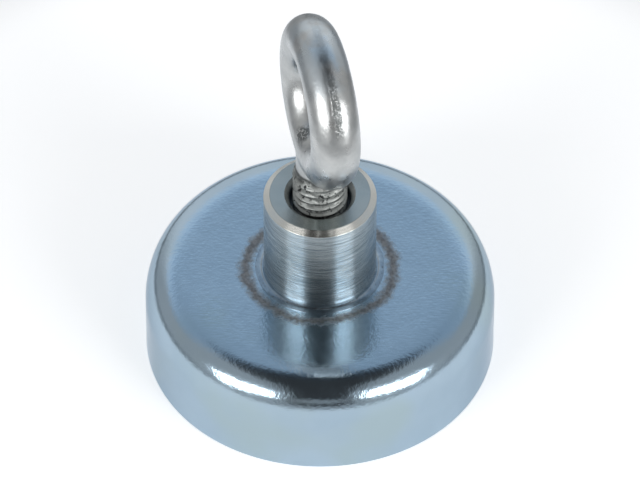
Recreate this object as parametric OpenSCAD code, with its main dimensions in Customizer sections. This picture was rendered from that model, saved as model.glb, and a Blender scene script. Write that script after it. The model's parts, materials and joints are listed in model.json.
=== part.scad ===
// Pot magnet with a threaded bush and an eye bolt, as used for magnet fishing.
// Millimetres, +Z up. The origin is the centre of the magnetic face, at the pot's rim.
// The eye lies in the XZ plane, so a rope passes through it along Y.

/* [Pot] */
// Outside diameter of the steel pot
pot_d = 50; // [44:1:80]
// Height of the steel pot
pot_h = 15; // [12:0.5:25]
// Width of the pot's rounded top corner, measured along the top
pot_corner_w = 4.2; // [2:0.1:6]
// Height of the same corner, measured down the side
pot_corner_h = 6.4; // [2:0.1:8]
// Thickness of the pot's side wall
pot_wall = 4; // [3:0.1:6]
// Thickness of the pot's top plate
pot_top = 5; // [4:0.1:7]
// Radius inside the pot, where its wall meets its top plate
pot_inner_r = 1; // [0.5:0.1:2]
// Chamfer on both edges of the pot's rim
rim_chamfer = 0.3; // [0.1:0.05:0.8]

/* [Magnet] */
// Gap between the magnet and the pot's wall, filled with resin
resin_w = 2; // [1:0.1:4]
// Depth of the magnet's face above the rim
magnet_recess = 0.2; // [0.1:0.05:1]
// Chamfer on the magnet's edges
magnet_chamfer = 0.5; // [0.2:0.1:1]
// Depth of the resin's surface above the rim
resin_recess = 0.35; // [0.2:0.05:1]
// Thickness of the adhesive between the magnet and the pot's top plate
bond_t = 0.3; // [0.1:0.05:0.6]

/* [Threaded bush] */
// Outside diameter of the bush
bush_d = 16; // [14:0.5:24]
// Height of the bush above the pot
bush_h = 15; // [8:0.5:25]
// Width of the chamfer round the bush's top edge, measured along the top
bush_chamfer_w = 0.9; // [0.2:0.1:1.5]
// Height of the same chamfer, measured down the side
bush_chamfer_h = 0.6; // [0.2:0.1:1.5]
// Gap between the bolt's thread and the plain counterbore over the bush's thread
relief_gap = 0.4; // [0.3:0.05:0.8]
// Width of the 45 degree countersink at the mouth of the counterbore
mouth_w = 0.75; // [0.2:0.05:1]
// Depth of the counterbore from the top of the bush
relief_depth = 2; // [1.5:0.1:4]
// Width of the weld bead round the foot of the bush
weld_w = 1.3; // [0.5:0.1:3]
// Height of the weld bead at the bush's wall
weld_h = 0.35; // [0.2:0.05:1]

/* [Thread] */
// Diameter over the crests of the bolt's thread
thread_d = 7.8; // [6.4:0.1:9.4]
// Pitch of the thread
thread_pitch = 1.25; // [1:0.05:1.5]
// Radial clearance between the bolt's thread and the bush's thread
thread_clearance = 0.15; // [0.1:0.01:0.25]

/* [Eye bolt] */
// Diameter of the round bar that the eye is forged from
eye_bar_d = 7; // [6:0.5:10]
// Diameter of the hole through the eye
eye_hole_d = 11; // [8:0.5:20]
// Length of shank between the top of the bush and the underside of the eye
shank_show = 6; // [4:0.5:12]
// Step from the thread's crests in to the plain neck under the eye
neck_step = 0.45; // [0.2:0.05:0.6]
// Length of that neck below the underside of the eye
neck_len = 0.7; // [0.5:0.1:2]
// Gap between the point of the bolt and the pot's top plate
tip_gap = 1; // [0.5:0.1:3]
// Length of the plain point below the thread
tip_len = 1.45; // [1:0.05:3]

/* [Hidden] */
$fn = 96;

// How far a cutter runs past the face that it cuts through
past = 1;

// Inside of the pot
pot_r = pot_d / 2;
cavity_r = pot_r - pot_wall;
cavity_h = pot_h - pot_top;
magnet_r = cavity_r - resin_w;

// Bush
bush_r = bush_d / 2;
bush_top = pot_h + bush_h;
relief_d = thread_d + 2 * relief_gap;
mouth_d = relief_d + 2 * mouth_w;

// Thread: a 60 degree profile with an eighth of the pitch flat at its crests
// and a quarter flat at its roots
thread_steps = 24;
run_out_steps = 8;
ridge_h = 5 / 8 * thread_pitch * sqrt(3) / 2;
ridge_z = [-3 / 8, -1 / 16, 1 / 16, 3 / 8] * thread_pitch;
core_r = thread_d / 2 - ridge_h;

// Bolt
neck_d = thread_d - 2 * neck_step;
turn_gap = 0.05;
tip_chamfer = 0.6;
tip_z = pot_h + tip_gap;
shank_z = tip_z + tip_len + turn_gap;
eye_z = bush_top + shank_show;
neck_z = eye_z - neck_len;
eye_bar_r = eye_bar_d / 2;
eye_ring_r = (eye_hole_d + eye_bar_d) / 2;
eye_centre_z = eye_z + eye_bar_r + eye_ring_r;
ridge_first = shank_z + thread_pitch / 2;
ridge_turns = (neck_z - ridge_first) / thread_pitch;

// The bush's thread starts whole turns below the bolt's, so that the two mesh
cut_drop = ceil((ridge_first - pot_h) / thread_pitch) + 1;
cut_first = ridge_first - cut_drop * thread_pitch;
cut_turns = (bush_top - relief_depth - cut_first) / thread_pitch + 1;
cut_end = cut_first + cut_turns * thread_pitch;

// Section of a disc from the axis to radius r, with its top outer corner rounded
module rounded_slab(r, low, high, corner_w, corner_h) {
    translate([0, low])
        square([r, high - low - corner_h]);
    translate([0, low])
        square([r - corner_w, high - low]);
    translate([r - corner_w, high - corner_h])
        scale([corner_w, corner_h])
            circle(1);
}

// Cutter that takes a 45 degree chamfer off the corner of a section
module corner_cut(x, y, size) {
    translate([x, y])
        rotate(45)
            square(size * sqrt(2), center = true);
}

// Where a screw's surface lies: r from the axis, so many steps round, at height z
function on_screw(r, steps, z) = [
    r * cos(360 * steps / thread_steps),
    r * sin(360 * steps / thread_steps),
    z
];

// Share of the full ridge at a step: it grows from nothing at one end and runs out at the other
function ridge_share(i, last) = min(1, i / run_out_steps, (last - i) / run_out_steps);

// Triangles from a chain's first point to each pair of neighbours in the rest of it
function fan(chain) = [for (k = [1:len(chain) - 2]) [chain[0], chain[k], chain[k + 1]]];

// One closed solid: a plain core with a helical ridge, for a right-hand thread
module screw(grow, low, high, first, turns) {
    n = thread_steps;
    last = round(turns * n);
    r = core_r + grow;
    // Lower root of the ridge, one turn longer than the ridge, then its other three corners
    root = [for (i = [0:last + n]) on_screw(r, i, first + thread_pitch * i / n + ridge_z[0])];
    rest = [
        for (c = [1:3]) for (i = [0:last]) on_screw(
            r + (c < 3 ? ridge_h * ridge_share(i, last) : 0),
            i,
            first + thread_pitch * i / n + ridge_z[c]
        )
    ];
    foot = [for (i = [0:n - 1]) on_screw(r, i, low)];
    head = [for (i = [0:n - 1]) on_screw(r, i, high)];
    // Index of corner c at step i; corner 4 is the next turn's corner 0
    foot_at = len(root) + len(rest);
    head_at = foot_at + n;
    at = function(i, c) c == 0 ? i : c == 4 ? i + n : len(root) + (c - 1) * (last + 1) + i;
    ridge = [
        for (i = [0:last - 1]) for (c = [0:3]) each fan(
            [at(i, c), at(i, c + 1), at(i + 1, c + 1), at(i + 1, c)]
        )
    ];
    low_wall = [
        for (i = [0:n - 2]) each fan([foot_at + i, at(i, 0), at(i + 1, 0), foot_at + i + 1])
    ];
    low_seam = fan([
        foot_at + n - 1, at(n - 1, 0), at(0, 4), at(0, 3), at(0, 2), at(0, 1), at(0, 0), foot_at
    ]);
    high_wall = [
        for (i = [last + 1:last + n - 1]) each fan(
            [at(i, 0), head_at + i % n, head_at + (i + 1) % n, at(i + 1, 0)]
        )
    ];
    high_seam = fan([
        at(last + 1, 0), at(last, 0), at(last, 1), at(last, 2), at(last, 3), at(last, 4),
        head_at + last % n, head_at + (last + 1) % n
    ]);
    ends = [
        [for (i = [0:n - 1]) foot_at + i],
        [for (i = [0:n - 1]) head_at + n - 1 - i]
    ];
    polyhedron(
        points = concat(root, rest, foot, head),
        faces = concat(ridge, low_wall, low_seam, high_wall, high_seam, ends)
    );
}

// Zinc-plated cup that carries the magnetic flux round to its rim
module steel_pot() {
    color([0.56, 0.66, 0.73])
        rotate_extrude()
            difference() {
                rounded_slab(pot_r, 0, pot_h, pot_corner_w, pot_corner_h);
                rounded_slab(cavity_r, -past, cavity_h, pot_inner_r, pot_inner_r);
                corner_cut(pot_r, 0, rim_chamfer);
                corner_cut(cavity_r, 0, rim_chamfer);
            }
}

// Turned sleeve with the thread for the eye bolt
module threaded_bush() {
    color([0.52, 0.58, 0.62])
        difference() {
            rotate_extrude()
                polygon([
                    [0, pot_h],
                    [bush_r, pot_h],
                    [bush_r, bush_top - bush_chamfer_h],
                    [bush_r - bush_chamfer_w, bush_top],
                    [0, bush_top],
                ]);
            screw(thread_clearance, cut_first - past, cut_end + thread_pitch / 2, cut_first, cut_turns);
            translate([0, 0, bush_top - relief_depth])
                cylinder(h = relief_depth + past, d = relief_d);
            translate([0, 0, bush_top - mouth_w])
                cylinder(h = mouth_w + past, d1 = relief_d, d2 = mouth_d + 2 * past);
        }
}

// Low bead that joins the bush to the pot
module weld_bead() {
    color([0.34, 0.37, 0.4])
        rotate_extrude()
            polygon([
                [bush_r, pot_h],
                [bush_r + weld_w, pot_h],
                [bush_r + weld_w * 0.7, pot_h + weld_h * 0.6],
                [bush_r + weld_w * 0.3, pot_h + weld_h * 0.95],
                [bush_r, pot_h + weld_h],
            ]);
}

// Nickel-plated rare earth magnet
module magnet_disc() {
    color([0.78, 0.78, 0.76])
        rotate_extrude()
            difference() {
                translate([0, magnet_recess])
                    square([magnet_r, cavity_h - bond_t - magnet_recess]);
                corner_cut(magnet_r, magnet_recess, magnet_chamfer);
                corner_cut(magnet_r, cavity_h - bond_t, magnet_chamfer);
            }
}

// Resin cast between the magnet and the pot's wall
module potting_ring() {
    color([0.1, 0.1, 0.11])
        rotate_extrude()
            difference() {
                rounded_slab(cavity_r, resin_recess, cavity_h, pot_inner_r, pot_inner_r);
                translate([0, -past])
                    square([magnet_r, cavity_h + 2 * past]);
            }
}

// Adhesive between the magnet and the pot's top plate
module bond_layer() {
    color([0.75, 0.68, 0.5])
        translate([0, 0, cavity_h - bond_t])
            cylinder(h = bond_t, r = magnet_r);
}

// Forged eye with its neck and threaded shank, in one piece
module eye_bolt() {
    color([0.68, 0.69, 0.68]) {
        translate([0, 0, eye_centre_z])
            rotate([90, 0, 0])
                rotate_extrude()
                    translate([eye_ring_r, 0])
                        circle(eye_bar_r);
        translate([0, 0, neck_z])
            cylinder(h = eye_z + eye_bar_r - neck_z, d = neck_d);
        screw(0, shank_z, neck_z + thread_pitch, ridge_first, ridge_turns);
    }
}

// Plain point of the bolt, which rises with the screw and is the same all round
module bolt_tip() {
    color([0.6, 0.61, 0.6]) {
        translate([0, 0, tip_z])
            cylinder(h = tip_chamfer, r1 = core_r - tip_chamfer, r2 = core_r);
        translate([0, 0, tip_z + tip_chamfer])
            cylinder(h = tip_len - tip_chamfer, r = core_r);
    }
}

steel_pot();
threaded_bush();
weld_bead();
magnet_disc();
potting_ring();
bond_layer();
eye_bolt();
bolt_tip();
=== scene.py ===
import json
import math
import random

import bmesh
import bpy
from mathutils import Matrix, Vector, noise


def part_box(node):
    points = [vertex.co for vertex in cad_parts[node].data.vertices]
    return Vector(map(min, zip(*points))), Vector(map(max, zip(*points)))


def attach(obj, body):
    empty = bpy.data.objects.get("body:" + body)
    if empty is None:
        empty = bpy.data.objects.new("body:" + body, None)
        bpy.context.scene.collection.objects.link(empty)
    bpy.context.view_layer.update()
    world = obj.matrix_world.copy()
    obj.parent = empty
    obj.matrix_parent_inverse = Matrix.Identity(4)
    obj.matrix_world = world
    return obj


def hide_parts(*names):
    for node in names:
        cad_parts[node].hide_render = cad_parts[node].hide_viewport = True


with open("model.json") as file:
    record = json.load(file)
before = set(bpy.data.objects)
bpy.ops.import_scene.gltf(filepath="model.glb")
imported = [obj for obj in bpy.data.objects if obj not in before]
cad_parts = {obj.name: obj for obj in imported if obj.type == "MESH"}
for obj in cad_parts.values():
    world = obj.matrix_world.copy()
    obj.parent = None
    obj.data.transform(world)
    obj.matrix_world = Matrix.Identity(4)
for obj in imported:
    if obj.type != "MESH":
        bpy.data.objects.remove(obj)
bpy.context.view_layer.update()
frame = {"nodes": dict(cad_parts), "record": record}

MM = 0.001

# ---------------------------------------------------------------- sizes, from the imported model

POT_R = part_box("steel_pot")[1].x
POT_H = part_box("steel_pot")[1].z
BUSH_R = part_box("threaded_bush")[1].x
BUSH_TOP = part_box("threaded_bush")[1].z
WELD_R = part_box("weld_bead")[1].x
WELD_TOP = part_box("weld_bead")[1].z
MAGNET_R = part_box("magnet_disc")[1].x
MAGNET_LOW, MAGNET_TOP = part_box("magnet_disc")[0].z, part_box("magnet_disc")[1].z
CAVITY_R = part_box("potting_ring")[1].x
CAVITY_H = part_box("potting_ring")[1].z
RESIN_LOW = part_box("potting_ring")[0].z
SHANK_LOW, EYE_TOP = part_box("eye_bolt")[0].z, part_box("eye_bolt")[1].z
EYE_OUTER_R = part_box("eye_bolt")[1].x
CREST_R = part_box("eye_bolt")[1].y
TIP_LOW, TIP_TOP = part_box("bolt_tip")[0].z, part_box("bolt_tip")[1].z
CORE_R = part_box("bolt_tip")[1].x
EYE_CENTRE = Vector(
    next(m for m in frame["record"]["mounts"] if m["name"] == "rope_eye")["pos_m"]
)
PITCH = 2 * math.pi * frame["record"]["behaviour"]["couplings"][0]["ratio"]

# Sizes that the boxes don't give, as in the CAD model
POT_CORNER_H = 6.4 * MM
POT_INNER_R = 1.0 * MM
RIM_EDGE = 0.3 * MM
BUSH_CHAMFER_W = 0.9 * MM
BUSH_CHAMFER_H = 0.6 * MM
MOUTH_R = 5.05 * MM
RELIEF_R = 4.3 * MM
RELIEF_DEPTH = 2.0 * MM
THREAD_GAP = 0.15 * MM
EYE_BAR_R = 3.5 * MM
NECK_R = 3.45 * MM
NECK_LOW = EYE_CENTRE.z - EYE_OUTER_R - 0.7 * MM
EYE_RING_R = EYE_OUTER_R - EYE_BAR_R
# Height at which the middle of the bolt's thread crosses the +X side
THREAD_Z = SHANK_LOW + PITCH / 2

# The pot's top starts to fall slowly, well before its corner
POT_FALL_W = 8.2 * MM
POT_FALL_POWER = 4.27
# Depth of the slow waves that pressing leaves in the pot
PRESS_WAVE = 0.012 * MM
# Half widths of a thread's crest and foot, in pitches
HALF_CREST = 1 / 16
HALF_FOOT = 3 / 8
ROWS_PER_PITCH = 20
# Turned grooves round the bush
GROOVE_STEP = 0.12 * MM
GROOVE_DEPTH = 0.004 * MM
# Facet size of the eye after its remesh
EYE_VOXEL = 0.16 * MM

# Burnt ring round the weld, and the way that the pot's top is brushed
BURN_INNER_R = 9.6 * MM
BURN_OUTER_R = 11.1 * MM
BURN_SHIFT = (0.33 * MM, -0.08 * MM, 0)
BRUSH_TURN = math.radians(76)
# A rough scar from the forging, low on one side of the eye's hole
SCAR_PLACE = (-0.7 * MM, -2.4 * MM, 42 * MM)


# ---------------------------------------------------------------- mesh tools


def outline(corners, step):
    """A polyline through (r, z, fillet radius) corners, with points about a step apart."""
    marks = []
    for i, (r, z, fillet) in enumerate(corners):
        here = Vector((r, z))
        if fillet == 0 or i in (0, len(corners) - 1):
            marks.append(here)
            continue
        back = (Vector(corners[i - 1][:2]) - here).normalized()
        on = (Vector(corners[i + 1][:2]) - here).normalized()
        half = back.angle(on) / 2
        reach = fillet / math.tan(half)
        middle = here + (back + on).normalized() * (fillet / math.sin(half))
        a, b = here + back * reach - middle, here + on * reach - middle
        turn = a.angle(b)
        steps = max(4, math.ceil(turn * fillet / step))
        for k in range(steps + 1):
            t = turn * k / steps
            marks.append(middle + (a * math.sin(turn - t) + b * math.sin(t)) / math.sin(turn))
    points = [marks[0]]
    for a, b in zip(marks, marks[1:]):
        steps = max(1, math.ceil((b - a).length / step))
        points += [a.lerp(b, k / steps) for k in range(1, steps + 1)]
    return [(p.x, p.y) for p in points]


def lathe(name, points, around=256, shape=None):
    """A closed surface of revolution; shape(angle, r, z) may change the radius and height of a point."""
    mesh = bmesh.new()
    rings = []
    for r, z in points:
        if r < 1e-7:
            rings.append([mesh.verts.new((0, 0, z))])
            continue
        ring = []
        for k in range(around):
            angle = 2 * math.pi * k / around
            rr, zz = shape(angle, r, z) if shape else (r, z)
            ring.append(mesh.verts.new((rr * math.cos(angle), rr * math.sin(angle), zz)))
        rings.append(ring)
    closed = len(rings[0]) > 1
    pairs = list(zip(rings, rings[1:] + rings[:1] if closed else rings[1:]))
    for low, high in pairs:
        for k in range(around):
            n = (k + 1) % around
            quad = [low[k % len(low)], low[n % len(low)], high[n % len(high)], high[k % len(high)]]
            mesh.faces.new(list(dict.fromkeys(quad)))
    bmesh.ops.recalc_face_normals(mesh, faces=mesh.faces)
    return to_object(name, mesh)


def to_object(name, mesh):
    data = bpy.data.meshes.new(name)
    mesh.to_mesh(data)
    mesh.free()
    for face in data.polygons:
        face.use_smooth = True
    data.set_sharp_from_angle(angle=math.radians(50))
    piece = bpy.data.objects.new(name, data)
    bpy.context.scene.collection.objects.link(piece)
    return piece


def baked(piece):
    """Replaces a piece's mesh by the result of its modifiers."""
    graph = bpy.context.evaluated_depsgraph_get()
    data = bpy.data.meshes.new_from_object(piece.evaluated_get(graph))
    piece.modifiers.clear()
    piece.data = data
    return piece


def move_points(piece, shift):
    """Moves every point by shift(place, normal)."""
    points = [(v.co.copy(), v.normal.copy()) for v in piece.data.vertices]
    for v, (place, normal) in zip(piece.data.vertices, points):
        v.co = shift(place, normal)
    piece.data.update()


def wave(place, scale, seed):
    """Smooth noise from -1 to 1 whose features are about scale metres wide."""
    return noise.noise(place / scale + Vector((seed * 7.3, seed * 3.1, seed * 5.7)))


# ---------------------------------------------------------------- pieces


def ridge(angle, z, first):
    """Share of the full thread height at a point: 1 on a crest and 0 at a root."""
    turn = ((z - first) / PITCH - angle / (2 * math.pi)) % 1.0
    from_middle = min(turn, 1 - turn)
    return min(1.0, max(0.0, (HALF_FOOT - from_middle) / (HALF_FOOT - HALF_CREST)))


def make_pot():
    points = outline(
        [
            (0, CAVITY_H, 0),
            (CAVITY_R, CAVITY_H, POT_INNER_R),
            (CAVITY_R, 0, RIM_EDGE),
            (POT_R, 0, RIM_EDGE),
            (POT_R, POT_H - POT_CORNER_H, 0),
        ],
        0.6 * MM,
    )
    # Points crowd towards the top, where the fall is slowest
    steps, crowding = 44, 1.8
    for k in range(1, steps + 1):
        turn = math.pi / 2 * (1 - k / steps) ** crowding
        out = math.sin(turn) ** (2 / POT_FALL_POWER)
        points.append((POT_R - POT_FALL_W * (1 - out), POT_H - POT_CORNER_H * (1 - math.cos(turn))))
    points += outline([(POT_R - POT_FALL_W, POT_H, 0), (0, POT_H, 0)], 0.6 * MM)[1:]

    def pressed(angle, r, z):
        """Slight waves in the wall and the top, always inwards."""
        inside = r < CAVITY_R + 1 * MM and z < CAVITY_H + 1 * MM
        if inside or z < 1 * MM:
            return r, z
        place = Vector((r * math.cos(angle), r * math.sin(angle), z))
        sink = PRESS_WAVE * (1 + wave(place, 7 * MM, 1))
        share = min(1, (POT_H - z) / POT_CORNER_H)
        return r - sink * share, z - 0.3 * sink * (1 - share)

    return lathe("pot_shell", points, around=384, shape=pressed)


def make_bush():
    ridge_low, ridge_high = POT_H, BUSH_TOP - RELIEF_DEPTH
    edge = 0.06 * MM
    core, grow = CORE_R + THREAD_GAP, CREST_R - CORE_R
    outside = outline(
        [
            (core, POT_H, 0),
            (BUSH_R, POT_H, edge),
            (BUSH_R, BUSH_TOP - BUSH_CHAMFER_H, edge),
            (BUSH_R - BUSH_CHAMFER_W, BUSH_TOP, edge),
            (MOUTH_R, BUSH_TOP, edge),
            (RELIEF_R, BUSH_TOP - (MOUTH_R - RELIEF_R), edge),
            (RELIEF_R, ridge_high, 0),
            (core, ridge_high, 0),
        ],
        0.06 * MM,
    )
    rows = int((ridge_high - ridge_low) / (PITCH / ROWS_PER_PITCH))
    inside = [
        (core, ridge_high - (ridge_high - ridge_low) * k / rows) for k in range(1, rows)
    ]
    rng = random.Random(4)
    marks = [rng.random() for _ in range(400)]

    def turned(angle, r, z):
        """The internal thread in the bore, and fine grooves round the wall."""
        if abs(r - core) < 1e-7:
            share = ridge(angle, z, THREAD_Z)
            return r + grow * share, z
        if abs(r - BUSH_R) < 1e-7 and z > WELD_TOP:
            place = (z / GROOVE_STEP) % len(marks)
            low = int(place)
            part = place - low
            height = marks[low] * (1 - part) + marks[(low + 1) % len(marks)] * part
            return r - GROOVE_DEPTH * height, z
        return r, z

    return lathe("bush_sleeve", outside + inside, around=192, shape=turned)


def make_weld():
    """A low smooth bead, highest in a thin lip just off the bush's wall."""
    rise = WELD_TOP - POT_H
    # Its hidden sides reach a little into the bush and the pot
    inside, below = BUSH_R - 0.2 * MM, POT_H - 0.1 * MM
    profile = [(inside, below), (WELD_R, below), (WELD_R, POT_H + 0.01 * MM)]
    foot_h, lip_h = 0.6 * rise, 0.3 * rise
    # Where the lip stands and how wide it is, as shares of the bead's width
    lip_place, lip_w = 0.8, 0.13
    steps = 16
    for k in range(1, steps + 1):
        share = k / steps
        lip = lip_h * math.exp(-(((share - lip_place) / lip_w) ** 2))
        foot = foot_h * share**2
        profile.append((WELD_R + (BUSH_R - WELD_R) * share, POT_H + foot + lip))
    profile.append((inside, POT_H + foot_h))

    def lumpy(angle, r, z):
        """Small changes in the bead's width and height as it goes round."""
        place = Vector((math.cos(angle), math.sin(angle), 0)) * BUSH_R
        if r < BUSH_R or z < POT_H:
            return r, z
        width = 0.92 + 0.08 * wave(place, 3.0 * MM, 5)
        lump = 0.88 + 0.12 * wave(place + Vector((r, 0, 0)), 1.6 * MM, 6)
        return BUSH_R + (r - BUSH_R) * width, POT_H + (z - POT_H) * lump

    return lathe("weld_seam", profile, around=320, shape=lumpy)


def make_magnet():
    """The plated disc with its rounded edges."""
    edge = 0.5 * MM
    points = outline(
        [
            (0, MAGNET_LOW, 0),
            (MAGNET_R, MAGNET_LOW, edge),
            (MAGNET_R, MAGNET_TOP, edge),
            (0, MAGNET_TOP, 0),
        ],
        0.5 * MM,
    )
    return lathe("magnet_plated", points)


def make_resin():
    """Resin that sags a little between the magnet and the pot's wall."""
    steps = 10
    gap = CAVITY_R - MAGNET_R
    hollow = 0.12 * MM
    points = []
    for k in range(steps + 1):
        t = k / steps
        points.append((MAGNET_R + gap * t, RESIN_LOW + hollow * 4 * t * (1 - t)))
    points += [
        (CAVITY_R, CAVITY_H - POT_INNER_R),
        (CAVITY_R - POT_INNER_R, CAVITY_H),
        (MAGNET_R, CAVITY_H),
    ]

    def poured(angle, r, z):
        """Slight unevenness in the surface that shows."""
        if z > CAVITY_H / 2:
            return r, z
        place = Vector((r * math.cos(angle), r * math.sin(angle), 0))
        return r, z + 0.04 * MM * (1 + wave(place, 4 * MM, 8))

    return lathe("resin_fill", points, shape=poured)


def make_tip():
    chamfer, edge = 0.6 * MM, 0.05 * MM
    points = outline(
        [
            (0, TIP_LOW, 0),
            (CORE_R - chamfer, TIP_LOW, edge),
            (CORE_R, TIP_LOW + chamfer, edge),
            (CORE_R, TIP_TOP, 0),
            (0, TIP_TOP, 0),
        ],
        0.2 * MM,
    )
    return lathe("shank_point", points, around=96)


def make_eye():
    """The ring with its neck, blended by a remesh, joined to the threaded shank."""
    body = bmesh.new()
    around, across = 192, 64
    grid = []
    for i in range(around):
        a = 2 * math.pi * i / around
        out = Vector((math.cos(a), 0, math.sin(a)))
        row = []
        for j in range(across):
            b = 2 * math.pi * j / across
            reach = EYE_RING_R + EYE_BAR_R * math.cos(b)
            side = Vector((0, EYE_BAR_R * math.sin(b), 0))
            row.append(body.verts.new(EYE_CENTRE + out * reach + side))
        grid.append(row)
    for i in range(around):
        for j in range(across):
            i2, j2 = (i + 1) % around, (j + 1) % across
            body.faces.new((grid[i][j], grid[i][j2], grid[i2][j2], grid[i2][j]))
    bmesh.ops.recalc_face_normals(body, faces=body.faces)
    eye = to_object("eye_forging", body)
    neck = lathe(
        "neck",
        outline(
            [
                (0, NECK_LOW, 0),
                (NECK_R, NECK_LOW, 0),
                (NECK_R, EYE_CENTRE.z - EYE_RING_R, 0),
                (0, EYE_CENTRE.z - EYE_RING_R, 0),
            ],
            0.3 * MM,
        ),
        around=96,
    )
    unite(eye, neck)
    remesh = eye.modifiers.new("remesh", "REMESH")
    remesh.mode = "VOXEL"
    remesh.voxel_size = EYE_VOXEL
    remesh.use_smooth_shade = True
    baked(eye)
    blend_neck(eye)

    def forged(place, normal):
        """Shallow unevenness, always inwards."""
        sink = 0.02 * (1 + wave(place, 3.0 * MM, 2)) + 0.008 * (1 + wave(place, 0.9 * MM, 3))
        return place - normal * sink * MM

    move_points(eye, forged)
    shank = make_shank()
    unite(eye, shank)
    keep_in_box(eye, "eye_bolt")
    for face in eye.data.polygons:
        face.use_smooth = True
    eye.data.set_sharp_from_angle(angle=math.radians(60))
    return eye


def unite(piece, other):
    """Joins the other piece into this one and removes it."""
    join = piece.modifiers.new("unite", "BOOLEAN")
    join.operation = "UNION"
    join.solver = "MANIFOLD"
    join.object = other
    baked(piece)
    bpy.data.objects.remove(other, do_unlink=True)


def blend_neck(eye):
    """Smooths the corner where the ring meets the neck, as a forging has it."""
    mesh = bmesh.new()
    mesh.from_mesh(eye.data)
    low, high, half_w = NECK_LOW + 0.35 * MM, NECK_LOW + 3.4 * MM, 5.5 * MM
    corner = [v for v in mesh.verts if low < v.co.z < high and abs(v.co.x) < half_w]
    rounds = 14
    for _ in range(rounds):
        bmesh.ops.smooth_vert(
            mesh, verts=corner, factor=0.5, use_axis_x=True, use_axis_y=True, use_axis_z=True
        )
    mesh.to_mesh(eye.data)
    mesh.free()


def make_shank():
    """The threaded shank, up to a little inside the neck."""
    high = NECK_LOW + 1.0 * MM
    rows = int((high - SHANK_LOW) / (PITCH / ROWS_PER_PITCH))
    points = [(0, SHANK_LOW)]
    points += [(CORE_R, SHANK_LOW + (high - SHANK_LOW) * k / rows) for k in range(rows + 1)]
    points.append((0, high))
    grow = CREST_R - CORE_R - 0.02 * MM
    # How far down the bush the filling starts, and how high it comes, as a share of the ridges
    below, level = 1.2 * MM, 0.9

    def rolled(angle, r, z):
        """Full ridges that start and run out over part of a turn, battered flat above the bush."""
        start = (z - SHANK_LOW - 0.1 * MM) / (0.9 * MM)
        stop = (NECK_LOW + 0.2 * MM - z) / (0.8 * MM)
        ends = min(1, max(0, start)) * min(1, max(0, stop))
        share = ridge(angle, z, THREAD_Z)
        place = Vector((math.cos(angle), math.sin(angle), 0)) * CREST_R + Vector((0, 0, z))
        # The grooves fill up from just inside the bush to the neck, in patches
        height = (z - BUSH_TOP + below) / (NECK_LOW - BUSH_TOP + below)
        patch = min(1, max(0.35, 0.75 + wave(place, 1.6 * MM, 12)))
        filled = min(0.97, max(0, 1.5 * height)) * patch
        share += (level - share) * filled if share < level else 0
        worn = 0.09 * MM * max(0.0, wave(place, 0.7 * MM, 9)) * share
        return r + (grow * share - worn) * ends, z

    return lathe("shank", points, around=144, shape=rolled)


def keep_in_box(piece, node):
    """Brings any point that stands past the CAD node's box back onto it."""
    low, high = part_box(node)
    for v in piece.data.vertices:
        v.co = [min(max(c, a), b) for c, a, b in zip(v.co, low, high)]


# ---------------------------------------------------------------- materials


def add(tree, kind, inputs=None, **settings):
    """Adds a node; an input is a constant or another node's output."""
    made = tree.nodes.new("ShaderNode" + kind)
    for key, value in settings.items():
        setattr(made, key, value)
    for key, value in (inputs or {}).items():
        if isinstance(value, bpy.types.NodeSocket):
            tree.links.new(value, made.inputs[key])
        else:
            made.inputs[key].default_value = value
    return made


def value(tree, operation, a, b=0.0, c=0.0):
    return add(tree, "Math", {0: a, 1: b, 2: c}, operation=operation).outputs[0]


def noise_at(tree, place, size, detail=2.0, rough=0.5):
    """Noise from 0 to 1 with features of about the given size in metres."""
    return add(
        tree, "TexNoise", {"Vector": place, "Scale": 1 / size, "Detail": detail, "Roughness": rough}
    ).outputs[0]


def spread(tree, source, low, high, to_low=0.0, to_high=1.0):
    """Maps low..high smoothly to to_low..to_high, held at both ends."""
    return add(
        tree,
        "MapRange",
        {"Value": source, 1: low, 2: high, 3: to_low, 4: to_high},
        interpolation_type="SMOOTHSTEP",
    ).outputs[0]


def blend(tree, share, a, b):
    """The value a where share is 0 and b where it is 1."""
    return add(tree, "Mix", {0: share, 2: a, 3: b}, data_type="FLOAT").outputs[0]


def mix(tree, share, a, b):
    """The colour a where share is 0 and b where it is 1."""
    return add(tree, "Mix", {0: share, 6: a, 7: b}, data_type="RGBA").outputs[2]


def colour(r, g, b):
    return (r, g, b, 1.0)


def metal(name, rough_low, rough_high):
    """A bare metal whose roughness drifts in patches; also returns its shading tree and place."""
    material = bpy.data.materials.new(name)
    material.use_nodes = True
    tree = material.node_tree
    shader = tree.nodes["Principled BSDF"]
    shader.inputs["Metallic"].default_value = 1.0
    shader.inputs["Specular Tint"].default_value = colour(0.72, 0.76, 0.80)
    place = add(tree, "TexCoord").outputs["Object"]
    patch = noise_at(tree, place, 2.5 * MM, 4.0, 0.6)
    tree.links.new(spread(tree, patch, 0.3, 0.7, rough_low, rough_high), shader.inputs["Roughness"])
    return material, tree, shader, place


def radius_of(tree, place):
    flat = add(tree, "VectorMath", {0: place, 1: (1, 1, 0)}, operation="MULTIPLY").outputs[0]
    return add(tree, "VectorMath", {0: flat}, operation="LENGTH").outputs["Value"]


def height_of(tree, place):
    return add(tree, "SeparateXYZ", {0: place}).outputs["Z"]


def stretched(tree, place, x, y, z, turn=0.0):
    """The place drawn out x, y and z times, along axes turned about Z."""
    return add(
        tree,
        "Mapping",
        {"Vector": place, "Rotation": (0, 0, turn), "Scale": (x, y, z)},
        vector_type="TEXTURE",
    ).outputs[0]


def bump(tree, shader, layers):
    """Layers of (height, depth in metres), added up as one bump."""
    total = None
    for height, depth in layers:
        part = value(tree, "MULTIPLY", height, depth)
        total = part if total is None else value(tree, "ADD", total, part)
    made = add(tree, "Bump", {"Strength": 1.0, "Distance": 1.0, "Height": total})
    tree.links.new(made.outputs[0], shader.inputs["Normal"])


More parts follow.
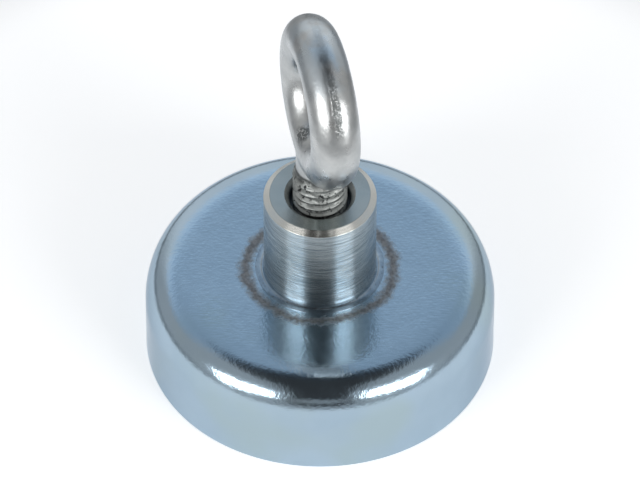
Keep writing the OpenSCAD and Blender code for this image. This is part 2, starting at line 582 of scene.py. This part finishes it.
def recolour(tree, shader, tone):
    """Gives the shader its colour."""
    tree.links.new(tone, shader.inputs["Base Color"])


def roughen(tree, shader, share, amount):
    """Adds to the roughness where share is high."""
    was = shader.inputs["Roughness"].links[0].from_socket
    extra = value(tree, "MULTIPLY", share, amount)
    tree.links.new(value(tree, "ADD", was, extra), shader.inputs["Roughness"])


def zinc_pot():
    """Blue-passivated zinc: orange peel, fine brushing on top and a burnt ring round the weld."""
    material, tree, shader, place = metal("zinc_pot", 0.12, 0.18)
    r = radius_of(tree, place)
    top = spread(tree, height_of(tree, place), POT_H - 0.2 * MM, POT_H - 0.02 * MM)
    cloud = spread(tree, noise_at(tree, place, 9 * MM, 3.0), 0.3, 0.7)
    base = mix(tree, cloud, colour(0.35, 0.455, 0.545), colour(0.385, 0.49, 0.58))
    brush = noise_at(tree, stretched(tree, place, 7, 1, 1, BRUSH_TURN), 0.22 * MM, 2.0)
    streak = value(tree, "MULTIPLY", spread(tree, brush, 0.35, 0.7), top)
    stain = spread(tree, noise_at(tree, place, 14 * MM, 2.0), 0.5, 0.75)
    base = mix(tree, stain, base, colour(0.37, 0.47, 0.515))
    base = mix(tree, streak, base, colour(0.40, 0.515, 0.61))
    # Orange peel is shallower on the top than on the pressed corner and wall
    peel = value(tree, "MULTIPLY", noise_at(tree, place, 0.5 * MM, 2.0), spread(tree, top, 0, 1, 1, 0.75))
    # The burnt ring's edges, which wander
    uneven = value(tree, "MULTIPLY", noise_at(tree, place, 0.9 * MM, 4.0, 0.75), 2.2 * MM)
    drift = value(tree, "MULTIPLY", noise_at(tree, place, 6 * MM, 1.0), 1.6 * MM)
    wander = value(tree, "ADD", uneven, drift)
    # The clean zone inside the ring is wider on one side
    beside = add(tree, "VectorMath", {0: place, 1: BURN_SHIFT}, operation="SUBTRACT").outputs[0]
    inner_reach = value(tree, "ADD", radius_of(tree, beside), wander)
    inner = spread(tree, inner_reach, BURN_INNER_R + 1.2 * MM, BURN_INNER_R + 2.6 * MM)
    outer_reach = value(tree, "ADD", r, wander)
    outer = spread(tree, outer_reach, BURN_OUTER_R + 1.4 * MM, BURN_OUTER_R + 2.8 * MM, 1.0, 0.0)
    burnt = value(tree, "MULTIPLY", value(tree, "MULTIPLY", inner, outer), top)
    speckle = spread(tree, noise_at(tree, place, 0.4 * MM, 3.0), 0.35, 0.65)
    scale = mix(tree, speckle, colour(0.16, 0.16, 0.165), colour(0.25, 0.25, 0.25))
    recolour(tree, shader, mix(tree, burnt, base, scale))
    roughen(tree, shader, burnt, 0.3)
    bump(
        tree,
        shader,
        [
            (peel, 0.024 * MM),
            (noise_at(tree, place, 0.22 * MM, 2.0), 0.006 * MM),
            (streak, 0.0012 * MM),
            (value(tree, "MULTIPLY", burnt, speckle), 0.006 * MM),
        ],
    )
    return material


def zinc_bush():
    """Turned zinc: grooves round the wall spread its reflections up and down."""
    material, tree, shader, place = metal("zinc_bush", 0.22, 0.26)
    shader.inputs["Anisotropic"].default_value = 1.0
    shader.inputs["Anisotropic Rotation"].default_value = 0.25
    around = add(tree, "Tangent", axis="Z", direction_type="RADIAL").outputs[0]
    tree.links.new(around, shader.inputs["Tangent"])
    r, z = radius_of(tree, place), height_of(tree, place)
    grooves = noise_at(tree, stretched(tree, place, 40, 40, 1), 0.16 * MM, 3.0, 0.65)
    dull = spread(tree, grooves, 0.35, 0.62)
    wall = mix(tree, dull, colour(0.32, 0.39, 0.43), colour(0.60, 0.67, 0.70))
    cloud = spread(tree, noise_at(tree, place, 4 * MM, 3.0), 0.3, 0.7)
    face = mix(tree, cloud, colour(0.35, 0.39, 0.39), colour(0.41, 0.44, 0.43))
    upper = spread(tree, z, BUSH_TOP - 0.06 * MM, BUSH_TOP - 0.02 * MM)
    chamfer = spread(tree, z, BUSH_TOP - BUSH_CHAMFER_H - 0.05 * MM, BUSH_TOP - BUSH_CHAMFER_H)
    tone = mix(tree, chamfer, wall, colour(0.70, 0.70, 0.66))
    tone = mix(tree, upper, tone, face)
    # Painted shade down the bore: its colour goes near black
    bore_shade = spread(tree, r, RELIEF_R - 0.05 * MM, RELIEF_R + 0.3 * MM, 1.0, 0.0)
    recolour(tree, shader, mix(tree, bore_shade, tone, colour(0.05, 0.055, 0.058)))
    bump(tree, shader, [(grooves, 0.010 * MM), (noise_at(tree, place, 0.4 * MM, 2.0), 0.002 * MM)])
    return material


def zinc_eye():
    """Plated forging: a trimmed flash line round the ring, and painted shade in the thread's grooves."""
    material, tree, shader, place = metal("zinc_eye", 0.26, 0.38)
    shader.inputs["Specular Tint"].default_value = colour(0.92, 0.94, 0.96)
    z = height_of(tree, place)
    cloud = spread(tree, noise_at(tree, place, 3 * MM, 4.0, 0.6), 0.3, 0.7)
    ring_tone = mix(tree, cloud, colour(0.45, 0.465, 0.465), colour(0.56, 0.57, 0.565))
    blue = spread(tree, z, EYE_TOP - 5 * MM, EYE_TOP - 0.5 * MM, 0.0, 0.8)
    blue = value(tree, "MULTIPLY", blue, spread(tree, noise_at(tree, place, 3.5 * MM, 2.0), 0.35, 0.6))
    ring_tone = mix(tree, blue, ring_tone, colour(0.53, 0.60, 0.65))
    offset = value(tree, "ABSOLUTE", add(tree, "SeparateXYZ", {0: place}).outputs["Y"])
    wander = value(tree, "MULTIPLY", noise_at(tree, place, 1.2 * MM, 3.0, 0.65), 0.9 * MM)
    line = spread(tree, value(tree, "ADD", offset, wander), 0.8 * MM, 1.2 * MM, 1.0, 0.0)
    # The trimmed line shows high on the outside and low inside the hole
    out = add(tree, "VectorMath", {0: place, 1: EYE_CENTRE}, operation="SUBTRACT").outputs[0]
    out = add(tree, "VectorMath", {0: out, 1: (1, 0, 1)}, operation="MULTIPLY").outputs[0]
    reach = add(tree, "VectorMath", {0: out}, operation="LENGTH").outputs["Value"]
    outside = spread(tree, reach, EYE_OUTER_R - 1.2 * MM, EYE_OUTER_R - 0.4 * MM)
    high = spread(tree, z, EYE_CENTRE.z + 3.5 * MM, EYE_CENTRE.z + 5.5 * MM)
    top = spread(tree, z, EYE_TOP - 4 * MM, EYE_TOP - 0.6 * MM, 1.0, 0.15)
    outside = value(tree, "MULTIPLY", outside, value(tree, "MULTIPLY", high, top))
    hole_r = EYE_OUTER_R - 2 * EYE_BAR_R
    inside = spread(tree, reach, hole_r + 0.5 * MM, hole_r + 1.3 * MM, 1.0, 0.0)
    low = spread(tree, z, EYE_CENTRE.z - 4.5 * MM, EYE_CENTRE.z - 2.5 * MM, 1.0, 0.0)
    inside = value(tree, "MULTIPLY", inside, low)
    flash = value(tree, "MULTIPLY", line, value(tree, "ADD", outside, inside))
    scar = add(tree, "VectorMath", {0: place, 1: SCAR_PLACE}, operation="DISTANCE").outputs["Value"]
    scar = value(tree, "ADD", scar, value(tree, "MULTIPLY", noise_at(tree, place, 1.5 * MM, 3.0), 2 * MM))
    flash = value(tree, "ADD", flash, spread(tree, scar, 1.9 * MM, 2.8 * MM, 1.0, 0.0))
    pits = noise_at(tree, place, 0.36 * MM, 4.0, 0.7)
    dark = value(tree, "MULTIPLY", flash, spread(tree, pits, 0.5, 0.62, 1.0, 0.0))
    tone = mix(tree, dark, ring_tone, colour(0.16, 0.17, 0.17))
    # The threaded shank is duller, with painted shade in its grooves that comes in patches
    shank = spread(tree, z, NECK_LOW + 0.3 * MM, NECK_LOW + 0.9 * MM, 1.0, 0.0)
    groove_shade = spread(
        tree, radius_of(tree, place), CORE_R + 0.1 * MM, CREST_R - 0.16 * MM, 1.0, 0.0
    )
    groove_shade_patches = spread(tree, noise_at(tree, place, 0.5 * MM, 3.0, 0.7), 0.25, 0.6, 0.4, 1.0)
    # Worn zinc on the shank, taken towards near black in its grooves by the painted groove shade
    worn = mix(
        tree,
        value(tree, "MULTIPLY", groove_shade, groove_shade_patches),
        colour(0.32, 0.335, 0.325),
        colour(0.06, 0.065, 0.065),
    )
    speck = spread(tree, noise_at(tree, place, 0.6 * MM, 3.0, 0.7), 0.56, 0.62)
    worn = mix(tree, speck, worn, colour(0.035, 0.037, 0.038))
    recolour(tree, shader, mix(tree, shank, tone, worn))
    roughen(tree, shader, shank, 0.2)
    roughen(tree, shader, flash, 0.1)
    bump(
        tree,
        shader,
        [
            (noise_at(tree, place, 0.9 * MM, 3.0), 0.03 * MM),
            (noise_at(tree, place, 0.22 * MM, 2.0), 0.010 * MM),
            (value(tree, "MULTIPLY", flash, pits), 0.09 * MM),
            (value(tree, "MULTIPLY", shank, pits), 0.03 * MM),
        ],
    )
    return material


def weld_metal():
    """Plated over with the pot, so nearly the same zinc, with a few small spatters."""
    material, tree, shader, place = metal("weld_metal", 0.16, 0.26)
    cloud = spread(tree, noise_at(tree, place, 1.5 * MM, 3.0), 0.3, 0.7)
    base = mix(tree, cloud, colour(0.25, 0.31, 0.37), colour(0.32, 0.39, 0.45))
    spatter = spread(tree, noise_at(tree, place, 0.35 * MM, 2.0), 0.62, 0.7)
    recolour(tree, shader, mix(tree, spatter, base, colour(0.16, 0.17, 0.18)))
    bump(tree, shader, [(noise_at(tree, place, 0.5 * MM, 2.0), 0.012 * MM)])
    return material


def nickel():
    """Bright plating on the magnet, with faint drawn lines."""
    material, tree, shader, place = metal("nickel", 0.1, 0.22)
    cloud = spread(tree, noise_at(tree, place, 6 * MM, 4.0, 0.6), 0.3, 0.7)
    recolour(tree, shader, mix(tree, cloud, colour(0.55, 0.53, 0.49), colour(0.64, 0.62, 0.58)))
    stretch = stretched(tree, place, 1, 30, 1)
    bump(
        tree,
        shader,
        [
            (noise_at(tree, stretch, 0.15 * MM, 3.0), 0.002 * MM),
            (noise_at(tree, place, 0.3 * MM, 2.0), 0.003 * MM),
        ],
    )
    return material


def plastic(name, dark, light, rough_low, rough_high, grain):
    """A mottled resin or adhesive with a grained surface."""
    material, tree, shader, place = metal(name, rough_low, rough_high)
    shader.inputs["Metallic"].default_value = 0.0
    cloud = spread(tree, noise_at(tree, place, 3 * MM, 4.0, 0.6), 0.3, 0.7)
    recolour(tree, shader, mix(tree, cloud, dark, light))
    bump(tree, shader, [(noise_at(tree, place, grain, 3.0), 0.03 * MM)])
    return material


# ---------------------------------------------------------------- assembly


def dress(piece, material, body, slot, *nodes):
    """Gives a piece its material and its body, and hides the CAD nodes that it stands for; the slot, its
    finish, is not used.
    """
    piece.data.materials.clear()
    piece.data.materials.append(material)
    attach(piece, body)
    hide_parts(*nodes)


dress(make_pot(), zinc_pot(), "magnet_base", "zinc_pot", "steel_pot")
dress(make_bush(), zinc_bush(), "magnet_base", "zinc_bush", "threaded_bush")
dress(make_weld(), weld_metal(), "magnet_base", "weld", "weld_bead")
dress(make_magnet(), nickel(), "magnet_base", "nickel", "magnet_disc")
resin = plastic("resin", colour(0.012, 0.012, 0.014), colour(0.03, 0.03, 0.034), 0.25, 0.5, 0.8 * MM)
dress(make_resin(), resin, "magnet_base", "resin", "potting_ring")
eye_metal = zinc_eye()
dress(make_eye(), eye_metal, "eye", "zinc_eye", "eye_bolt")
dress(make_tip(), eye_metal, "bolt_travel", "zinc_eye", "bolt_tip")
glue = plastic("glue", colour(0.45, 0.36, 0.2), colour(0.55, 0.47, 0.3), 0.5, 0.7, 0.5 * MM)
for place in frame["nodes"]["bond_layer"].material_slots:
    place.material = glue

# ---------------------------------------------------------------- stage

CAMERA_AZIMUTH = math.radians(76.0)
CAMERA_ELEVATION = math.radians(46.78)
CAMERA_DISTANCE = 1.0
CAMERA_SENSOR, CAMERA_LENS = 36.0, 396.2
TARGET = Vector((0, 0, 0.02045))

FLOOR_R = 2.5
# Reach and glow of the floor's painted pool of light
FLOOR_BRIGHT_R = 0.075
FLOOR_DIM_R = 0.11
FLOOR_GLOW = 0.42
# The floor lies this far below the rim, so that the two faces don't share a plane
FLOOR_DROP = 0.02 * MM

LAMP_DISTANCE = 0.8
LAMP_W, LAMP_H = 0.47, 0.31

# Brightness of the room's parts
ROOM_LIGHT = 0.53
CEILING_LIGHT = 0.10
WALL_LIGHT = 0.92
GAP_LIGHT = 0.06
LENS_LIGHT = 0.4
HALO_LIGHT = 0.8


def towards(azimuth, elevation):
    """Unit vector from the object, azimuth counted from the photographer's side."""
    a = CAMERA_AZIMUTH + azimuth
    return Vector(
        (math.sin(a) * math.cos(elevation), -math.cos(a) * math.cos(elevation), math.sin(elevation))
    )


def make_camera():
    data = bpy.data.cameras.new("camera")
    data.sensor_width = CAMERA_SENSOR
    data.lens = CAMERA_LENS
    data.clip_start, data.clip_end = 0.05, 20.0
    camera = bpy.data.objects.new("camera", data)
    back = towards(0, CAMERA_ELEVATION)
    camera.location = TARGET + back * CAMERA_DISTANCE
    camera.rotation_euler = (-back).to_track_quat("-Z", "Y").to_euler()
    bpy.context.scene.collection.objects.link(camera)
    bpy.context.scene.camera = camera


def softbox(name, azimuth, elevation, roll, radiance):
    """A rectangular lamp that faces the object; its top leans outwards by roll degrees."""
    data = bpy.data.lights.new(name, "AREA")
    data.shape = "RECTANGLE"
    data.size, data.size_y = LAMP_W, LAMP_H
    data.energy = radiance * math.pi * LAMP_W * LAMP_H
    data.color = (1.0, 1.0, 1.0)
    lamp = bpy.data.objects.new(name, data)
    back = towards(math.radians(azimuth), math.radians(elevation))
    lamp.location = TARGET + back * LAMP_DISTANCE
    facing = (-back).to_track_quat("-Z", "Y").to_matrix()
    lamp.rotation_euler = (facing @ Matrix.Rotation(math.radians(roll), 3, "Z")).to_euler()
    bpy.context.scene.collection.objects.link(lamp)


def make_world():
    """A pale room with a bright wall behind the object and a dark gap over the photographer."""
    world = bpy.data.worlds.new("studio")
    world.use_nodes = True
    tree = world.node_tree
    way = add(tree, "TexCoord").outputs["Generated"]

    def part(direction):
        return add(tree, "VectorMath", {0: way, 1: direction}, operation="DOT_PRODUCT").outputs["Value"]

    front, up = part(towards(0, 0)), part((0, 0, 1))
    aside = value(tree, "ABSOLUTE", part(towards(math.pi / 2, 0)))
    # Angle over the top, from the photographer's horizon to the one behind the object
    arc = value(tree, "DEGREES", value(tree, "ARCTAN2", up, front))
    room = spread(tree, up, 0.86, 0.955, ROOM_LIGHT, CEILING_LIGHT)
    # The bright wall behind the object
    wall = value(tree, "MULTIPLY", spread(tree, aside, 0.35, 0.72, 1, 0), spread(tree, front, -0.15, -0.4))
    wall = value(tree, "MULTIPLY", wall, spread(tree, up, 0.64, 0.74, 1, 0))
    light = blend(tree, wall, room, WALL_LIGHT)
    # The dark gap over the photographer
    gap = value(tree, "MULTIPLY", spread(tree, aside, 0.20, 0.42, 1, 0), spread(tree, arc, 100, 120, 1, 0))
    light = blend(tree, gap, light, GAP_LIGHT)
    # A dim patch low in the gap
    lens = value(tree, "MULTIPLY", spread(tree, arc, 4, 9), spread(tree, arc, 17, 24, 1, 0))
    lens = value(tree, "MULTIPLY", lens, spread(tree, aside, 0.15, 0.3, 1, 0))
    light = blend(tree, lens, light, LENS_LIGHT)
    # The glow over the two lamps
    halo = value(tree, "MULTIPLY", spread(tree, up, 0.35, 0.45), spread(tree, up, 0.50, 0.74, 1, 0))
    halo = value(tree, "MULTIPLY", halo, spread(tree, aside, 0.25, 0.42))
    halo = value(tree, "MULTIPLY", halo, spread(tree, front, 0.3, 0.45))
    light = blend(tree, halo, light, HALO_LIGHT)
    # A bluish tint high up behind the object
    sky = value(tree, "MULTIPLY", spread(tree, front, 0.0, -0.4), spread(tree, up, 0.5, 0.7))
    tint = mix(tree, sky, colour(1, 1, 1), colour(0.82, 1.0, 1.2))
    background = tree.nodes["Background"]
    tree.links.new(tint, background.inputs["Color"])
    tree.links.new(light, background.inputs["Strength"])
    bpy.context.scene.world = world


def make_floor():
    mesh = bmesh.new()
    bmesh.ops.create_circle(mesh, cap_ends=True, segments=96, radius=FLOOR_R)
    floor = to_object("floor", mesh)
    material = bpy.data.materials.new("pale_table")
    material.use_nodes = True
    tree = material.node_tree
    shader = tree.nodes["Principled BSDF"]
    place = add(tree, "TexCoord").outputs["Object"]
    # Painted pool of light: colour and glow are bright round the object and dimmer further off, as lamps
    # close by would leave it
    far = radius_of(tree, place)
    dim = spread(tree, far, FLOOR_BRIGHT_R, FLOOR_DIM_R)
    recolour(tree, shader, mix(tree, dim, colour(0.86, 0.86, 0.86), colour(0.5, 0.5, 0.5)))
    shader.inputs["Roughness"].default_value = 0.9
    shader.inputs["Specular IOR Level"].default_value = 0.1
    # Painted light: the floor glows round the object though it is no lamp
    shader.inputs["Emission Color"].default_value = colour(1, 1, 1)
    glow = spread(tree, far, FLOOR_BRIGHT_R, FLOOR_DIM_R, FLOOR_GLOW, 0.0)
    tree.links.new(glow, shader.inputs["Emission Strength"])
    floor.data.materials.append(material)
    floor.location.z = -FLOOR_DROP


make_camera()
make_world()
make_floor()
softbox("softbox_left", azimuth=-45.5, elevation=17, roll=20, radiance=7.5)
softbox("softbox_right", azimuth=45.5, elevation=17, roll=-20, radiance=8.5)
bpy.context.scene.view_settings.view_transform = "Standard"
